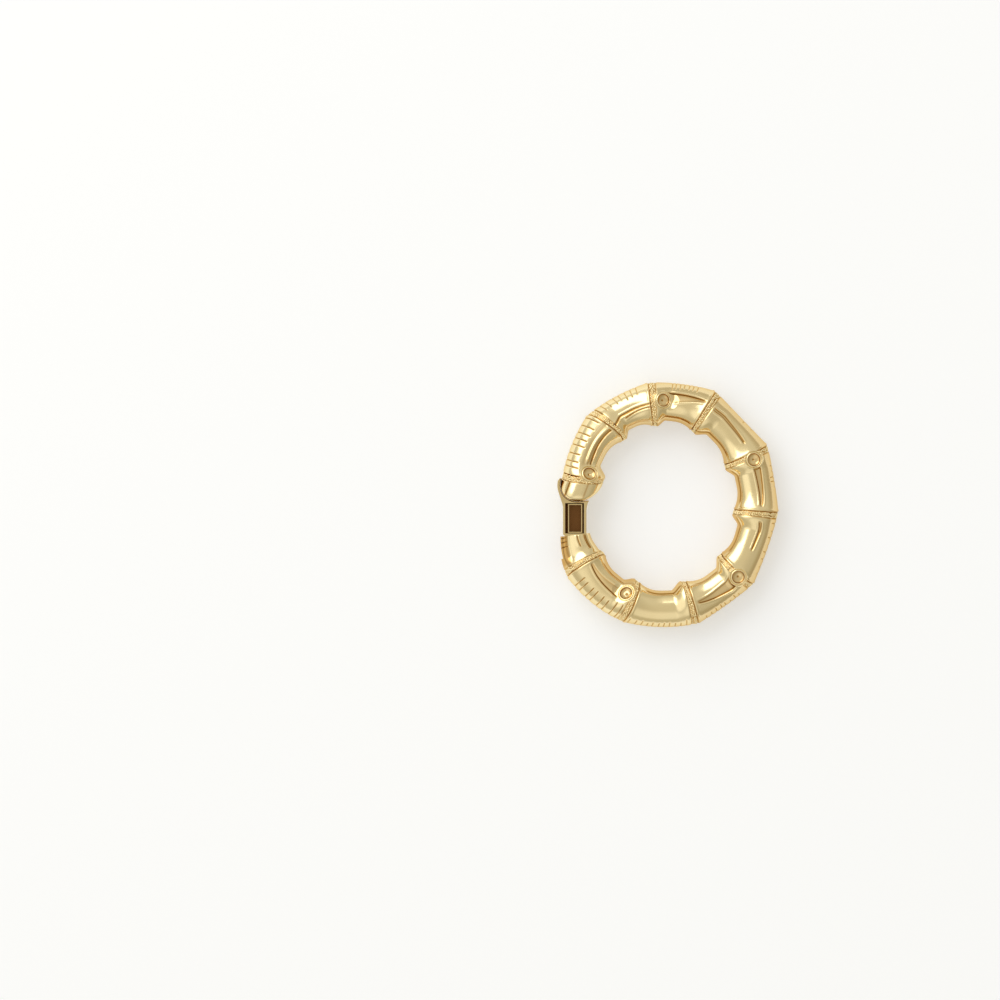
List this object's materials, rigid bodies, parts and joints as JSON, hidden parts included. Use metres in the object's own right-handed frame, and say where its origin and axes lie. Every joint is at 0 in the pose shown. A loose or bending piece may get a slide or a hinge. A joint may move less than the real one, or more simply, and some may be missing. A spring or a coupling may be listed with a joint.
{
  "type": "clip-on hoop earring",
  "caption": "Gold bamboo-form hoop earring, an open ring of jointed tube whose gap is closed by a sprung ear clip hinged in the lower end.",
  "frame": {"origin": "on the surface that the hoop lies on, under the middle of its box", "axes": "the hoop's plane is XY, +Z comes out of its front, +Y runs up the oval, and the clip closes the gap at -X"},
  "size_m": [0.0318, 0.0352, 0.0061],
  "materials": {
    "hoop_gold": "polished yellow gold",
    "clip_gold": "polished yellow gold",
    "box_gold": "unpolished gold, dark inside",
    "pin_gold": "polished yellow gold"
  },
  "bodies": {
    "hoop": {"bamboo_hoop": "hoop_gold", "hinge_pin": "pin_gold"},
    "clip": {"clip_frame": "clip_gold", "spring_box": "box_gold"}
  },
  "joints": [
    {"name": "clip_hinge", "type": "hinge", "parent": "hoop", "child": "clip", "pos_m": [-0.01098, -0.0069, 0.00305], "axis": [0, 0, 1], "range_deg": [0, 40], "stiffness_Nm_per_rad": 0.01, "springref_deg": -45.84}
  ]
}
